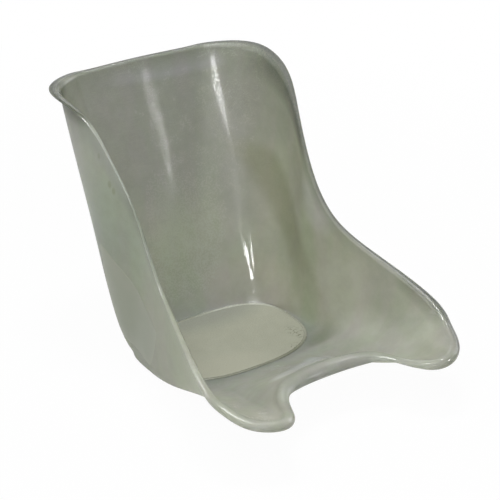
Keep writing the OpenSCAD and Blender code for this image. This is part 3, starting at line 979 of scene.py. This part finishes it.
# %% Grow the bead
BEAD_MIDDLE = BEAD_INSET + BEAD_WIDTH / 2
BEAD_LIFT, BEAD_HALF_SHARE = 0.2, 0.62
bead = grown("resin_line", bead_tree, {
    "Half width": (PAN_WIDTH / 2 - BEAD_MIDDLE) * MM,
    "Front length": (PAN_FRONT - BEAD_MIDDLE) * MM,
    "Back length": (PAN_BACK - BEAD_MIDDLE) * MM,
    "Front squareness": PAN_FRONT_SQUARENESS,
    "Back squareness": PAN_BACK_SQUARENESS,
    "Height": (PAN_TOPSIDE + BEAD_LIFT) * MM,
    "Bead half width": BEAD_HALF_SHARE * BEAD_WIDTH * MM,
    "Bead rise": (FLOOR_PLY + BEAD_CROWN - BEAD_LIFT) * MM,
    "Unevenness": 0.8,
    "Resin": bead_finish,
})

# %% [markdown]
# ## The doublers on the hips
# Where the seat stays are bolted, a maker adds a patch of mat on the outside. Its edges are feathered by
# the roller, so it shows only as a slight swell. Each patch follows the outer skin point by point and
# thins to nothing at its edge.

# %% Lay the hip doublers
HIP_FIRST_ROW, HIP_LAST_ROW = 9, 13
HIP_LOW_RING, HIP_HIGH_RING = 10, 27
FEATHER_SHARE = 0.35
SUNK_EDGE, SUNK_BACK = 0.05, 0.3


def smooth_rise(share):
    share = np.clip(share, 0, 1)
    return share * share * (3 - 2 * share)


def hip_patch(name, side):
    columns = np.arange(HIP_FIRST_ROW * STATIONS_PER_ROW, HIP_LAST_ROW * STATIONS_PER_ROW + 1)
    if side < 0:
        columns = (STATION_COUNT - columns)[::-1]
    rings = np.arange(HIP_LOW_RING, HIP_HIGH_RING + 1)
    skin, normals = outer_skin[columns][:, rings], outward[columns][:, rings]
    across = np.linspace(0, 1, len(columns))[:, None]
    up = np.linspace(0, 1, len(rings))[None, :]
    to_edge = np.minimum(np.minimum(across, 1 - across), np.minimum(up, 1 - up)) / FEATHER_SHARE
    thickness = smooth_rise(to_edge) * (HIP_PLY + SUNK_EDGE) - SUNK_EDGE
    raised, sunk = skin + thickness[..., None] * normals, skin - SUNK_BACK * normals
    points = np.vstack([sunk.reshape(-1, 3), raised.reshape(-1, 3)])
    layer = thickness.size
    grid = np.arange(layer).reshape(thickness.shape)
    corners = [grid[:-1, :-1], grid[1:, :-1], grid[1:, 1:], grid[:-1, 1:]]
    faces = []
    for quad in np.stack(corners, axis=-1).reshape(-1, 4).tolist():
        faces += [[v + layer for v in quad], quad[::-1]]
    border = np.concatenate([grid[:, 0], grid[-1, 1:], grid[-2::-1, -1], grid[0, -2:0:-1]]).tolist()
    for v, after in zip(border, border[1:] + border[:1]):
        faces.append([v, after, after + layer, v + layer])
    patch = new_piece(name, points, faces)
    for wall in patch.data.polygons[-len(border):]:
        wall.use_smooth = False
    share = np.clip(thickness / HIP_PLY, 0, 1).reshape(-1).astype(np.float32)
    patch.data.attributes.new("ply", "FLOAT", "POINT").data.foreach_set("value", np.tile(share, 2))
    return patch


hip_left = hip_patch("hip_ply_left", 1)
hip_right = hip_patch("hip_ply_right", -1)

# %% [markdown]
# ## Mark the shell's places
# Three attributes tell the laminate's finish where it is on the shell, ring by ring: outside is full on
# the skin that the mould never touched, rim is full on the rolled lip, and curl grows along the roll.

# %% Mark the rings of the shell
RIM_FADE = 3


def mark_rings(name, inside, at_the_edge, outside):
    values = np.zeros(len(shell_points), dtype=np.float32)
    skin_points = STATION_COUNT * RINGS
    edge_end = skin_points + STATION_COUNT * (EDGE_STEPS - 1)
    values[:skin_points] = np.repeat(inside, STATION_COUNT)
    values[skin_points:edge_end] = at_the_edge
    values[edge_end:edge_end + skin_points] = np.repeat(outside, STATION_COUNT)
    shell.data.attributes.new(name, "FLOAT", "POINT").data.foreach_set("value", values)


past_wall = np.arange(RINGS) - WALL_STEPS
rim_rise = np.clip(past_wall / RIM_FADE + 1, 0, 1)
curl_rise = np.clip(past_wall / LIP_STEPS, 0, 1)
mark_rings("rim", rim_rise, 1.0, rim_rise[::-1])
mark_rings("curl", curl_rise, 1.0, curl_rise[::-1])
mark_rings("outside", np.zeros(RINGS), 0.5, np.ones(RINGS))
print("marked:", [mark.name for mark in shell.data.attributes if mark.data_type == "FLOAT"])

# %% [markdown]
# ## Dress the pieces
# Every piece takes its finish and rides on the part's only body, and the CAD solid that each one stands for
# is hidden. The doubler under the pan stays the CAD's own solid and takes a finish only.

# %% Give every piece its finish
shell.data.materials.append(laminate)
panel.data.materials.append(panel_finish)
for patch in (hip_left, hip_right):
    patch.data.materials.append(hip_finish)
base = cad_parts["base_doubler"]
base.data.materials.clear()
base.data.materials.append(doubler_finish)

for piece, node, slot in (
    (shell, "seat_shell", "shell_laminate"),
    (panel, "floor_panel", "floor_ply"),
    (bead, "resin_bead", "bead_resin"),
    (hip_left, "hip_doubler_left", "doubler_ply"),
    (hip_right, "hip_doubler_right", "doubler_ply"),
):
    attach(piece, "root")
    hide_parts(node)

# %% [markdown]
# ## Floor and background
# The seat stands on a pale sweep. To the camera, and in reflections, the sweep is nearly white by itself,
# and fully white farther out. Close to the seat a small share of it stays matt and holds the soft shadow.

# %% Lay the floor
FLOOR_RADIUS, NEAR_SEAT, FAR_FROM_SEAT, NEAR_WHITE = 9.0, 0.5, 1.6, 0.97


def seen_by_eye(tree):
    rays = add_node(tree, "ShaderNodeLightPath").outputs
    return maths("MAXIMUM", *(rays[f"Is {kind} Ray"] for kind in ("Camera", "Glossy", "Transmission")))


bpy.ops.mesh.primitive_circle_add(vertices=96, radius=FLOOR_RADIUS, fill_type="NGON", location=(0, 0, 0))
floor = bpy.context.object
floor.name = "studio_floor"
sweep_finish = bpy.data.materials.new("studio_floor")
tree = cleared_tree(sweep_finish)
matt = wired(tree, "ShaderNodeBsdfDiffuse", Color=rgb(0.8, 0.8, 0.8))
glow = wired(tree, "ShaderNodeEmission", Color=rgb(1, 1, 1))
from_seat = vectors("LENGTH", add_node(tree, "ShaderNodeTexCoord").outputs["Object"])
white_share = stepped(from_seat, NEAR_SEAT, FAR_FROM_SEAT, NEAR_WHITE, 1.0)
glow_share = times(seen_by_eye(tree), white_share)
sweep = tree.nodes.new("ShaderNodeMixShader")
for socket, value in zip(sweep.inputs, (glow_share, matt, glow)):
    feed(socket, value)
feed(tree.nodes.new("ShaderNodeOutputMaterial").inputs["Surface"], sweep.outputs[0])
floor.data.materials.append(sweep_finish)
floor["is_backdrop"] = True
print("floor laid,", 2 * FLOOR_RADIUS, "m across")

# %% [markdown]
# ## The room
# The room is white to the eye and to reflections, and gives only a faint light of its own, which lifts the
# deepest shade. The lamps do the rest.

# %% Light the room
ROOM_LIGHT = 0.08

world = bpy.data.worlds.new("room")
bpy.context.scene.world = world
tree = cleared_tree(world)
strength = add_node(tree, "ShaderNodeMix", data_type="FLOAT")
for number, value in ((0, seen_by_eye(tree)), (2, ROOM_LIGHT), (3, 1.0)):
    feed(strength.inputs[number], value)
room = wired(tree, "ShaderNodeBackground", Color=rgb(1, 1, 1), Strength=strength.outputs[0])
feed(tree.nodes.new("ShaderNodeOutputWorld").inputs["Surface"], room)
print("room light:", ROOM_LIGHT)

# %% [markdown]
# ## Lamps
# A glossy shell is lit by its reflections. Six big soft lamps stand round it and give the form. Seven small
# ones show only in reflections and draw the bright lines: one down the back, three in and under its far
# corner, and three along the crest of the rim. A row holds a lamp's name, its two angles round the seat,
# its distance, width, height and brightness, and for some its lean.

# %% Hang the lamps
LAMP_TARGET = Vector((0.0, 0.0, 0.22))


def way_from_seat(azimuth, elevation):
    a, e = math.radians(azimuth), math.radians(elevation)
    return Vector((math.sin(a) * math.cos(e), -math.cos(a) * math.cos(e), math.sin(e)))


def hang_lamp(gloss_only, name, azimuth, elevation, distance, width, height, brightness, lean=0):
    light = bpy.data.lights.new(name, "AREA")
    light.shape = "RECTANGLE"
    light.size, light.size_y = width, height
    light.energy = brightness * math.pi * width * height
    lamp = placed(name, light)
    way = way_from_seat(azimuth, elevation)
    lamp.location = LAMP_TARGET + distance * way
    lamp.rotation_mode = "QUATERNION"
    lean_back = Matrix.Rotation(math.radians(-lean), 3, "Z").to_quaternion()
    lamp.rotation_quaternion = way.to_track_quat("Z", "Y") @ lean_back
    lamp.visible_diffuse = not gloss_only


SOFT_LAMPS = [
    ("overhead", 0, 90, 2.4, 0.6, 0.6, 26),
    ("overhead_left", -90, 70, 2.4, 1.3, 1.3, 2.6),
    ("front", -35, 45, 2.4, 1.3, 1.3, 3.4),
    ("right_low", 90, 15, 2.4, 1.3, 1.3, 2.6),
    ("left_low", -100, 15, 2.4, 1.3, 1.3, 2.2),
    ("rear", 146, 36, 2.4, 0.7, 0.4, 3.0),
]
GLOSS_LAMPS = [
    ("back_streak", 30.23, 5.14, 2.04, 0.01, 0.1, 45, 50),
    ("corner_high", -35, 15, 2.0, 0.11, 0.2, 34, 35),
    ("corner_low", -31.5, 4.4, 2.0, 0.22, 0.07, 40),
    ("crest_right", 104, 62, 2.4, 0.16, 0.16, 80),
    ("crest_top", -25, 80, 2.4, 0.14, 0.14, 80),
    ("crest_line", 50, 32, 2.4, 0.16, 0.16, 60),
    ("corner_foot", -41.6, 2.15, 2.0, 0.3, 0.025, 40),
]
for gloss_only, lamps in ((False, SOFT_LAMPS), (True, GLOSS_LAMPS)):
    for lamp in lamps:
        hang_lamp(gloss_only, *lamp)

# %% [markdown]
# ## The camera
# The camera stands well back with a long lens, as for a catalogue, so the seat keeps its proportions. It
# is placed by its angles round the seat, and leans a third of a degree.

# %% Set up the camera
CAMERA_AZIMUTH, CAMERA_ELEVATION, CAMERA_ROLL = -34.93, 26.27, math.radians(-0.32)
CAMERA_DISTANCE, FOCAL_PIXELS, FRAME_PIXELS = 2.5423, 1599.45, 500
SENSOR_WIDTH = 36
AIM = Vector((0.0, -0.038, 0.19))
AIM_RIGHT, AIM_UP = 0.02748, -0.00547

back_way = way_from_seat(CAMERA_AZIMUTH, CAMERA_ELEVATION)
right_way = (-back_way).cross(Vector((0, 0, 1))).normalized()
up_way = right_way.cross(-back_way)
leaned_right = math.cos(CAMERA_ROLL) * right_way + math.sin(CAMERA_ROLL) * up_way
leaned_up = math.cos(CAMERA_ROLL) * up_way - math.sin(CAMERA_ROLL) * right_way
camera = placed("camera", bpy.data.cameras.new("camera"))
camera.data.sensor_width = SENSOR_WIDTH
camera.data.lens = FOCAL_PIXELS / FRAME_PIXELS * SENSOR_WIDTH
camera.data.clip_start, camera.data.clip_end = 0.05, 60
turned = Matrix((leaned_right, leaned_up, back_way)).transposed().to_4x4()
stand = AIM + AIM_RIGHT * right_way + AIM_UP * up_way + CAMERA_DISTANCE * back_way
camera.matrix_world = Matrix.Translation(stand) @ turned
bpy.context.scene.camera = camera
bpy.context.scene.view_settings.view_transform = "Standard"
print("camera at", [round(v, 3) for v in stand], "lens", round(camera.data.lens, 1), "mm")

# %% [markdown]
# ## Close the lesson
# The last cell works out the dressed part's box and prints it, so that it can be compared with the CAD box
# printed at the start.

bpy.context.view_layer.update()
boxes = [[list(corner) for corner in box] for box in (cad_box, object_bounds())]
print("visual box:", [round(v, 4) for corner in boxes[1] for v in corner])
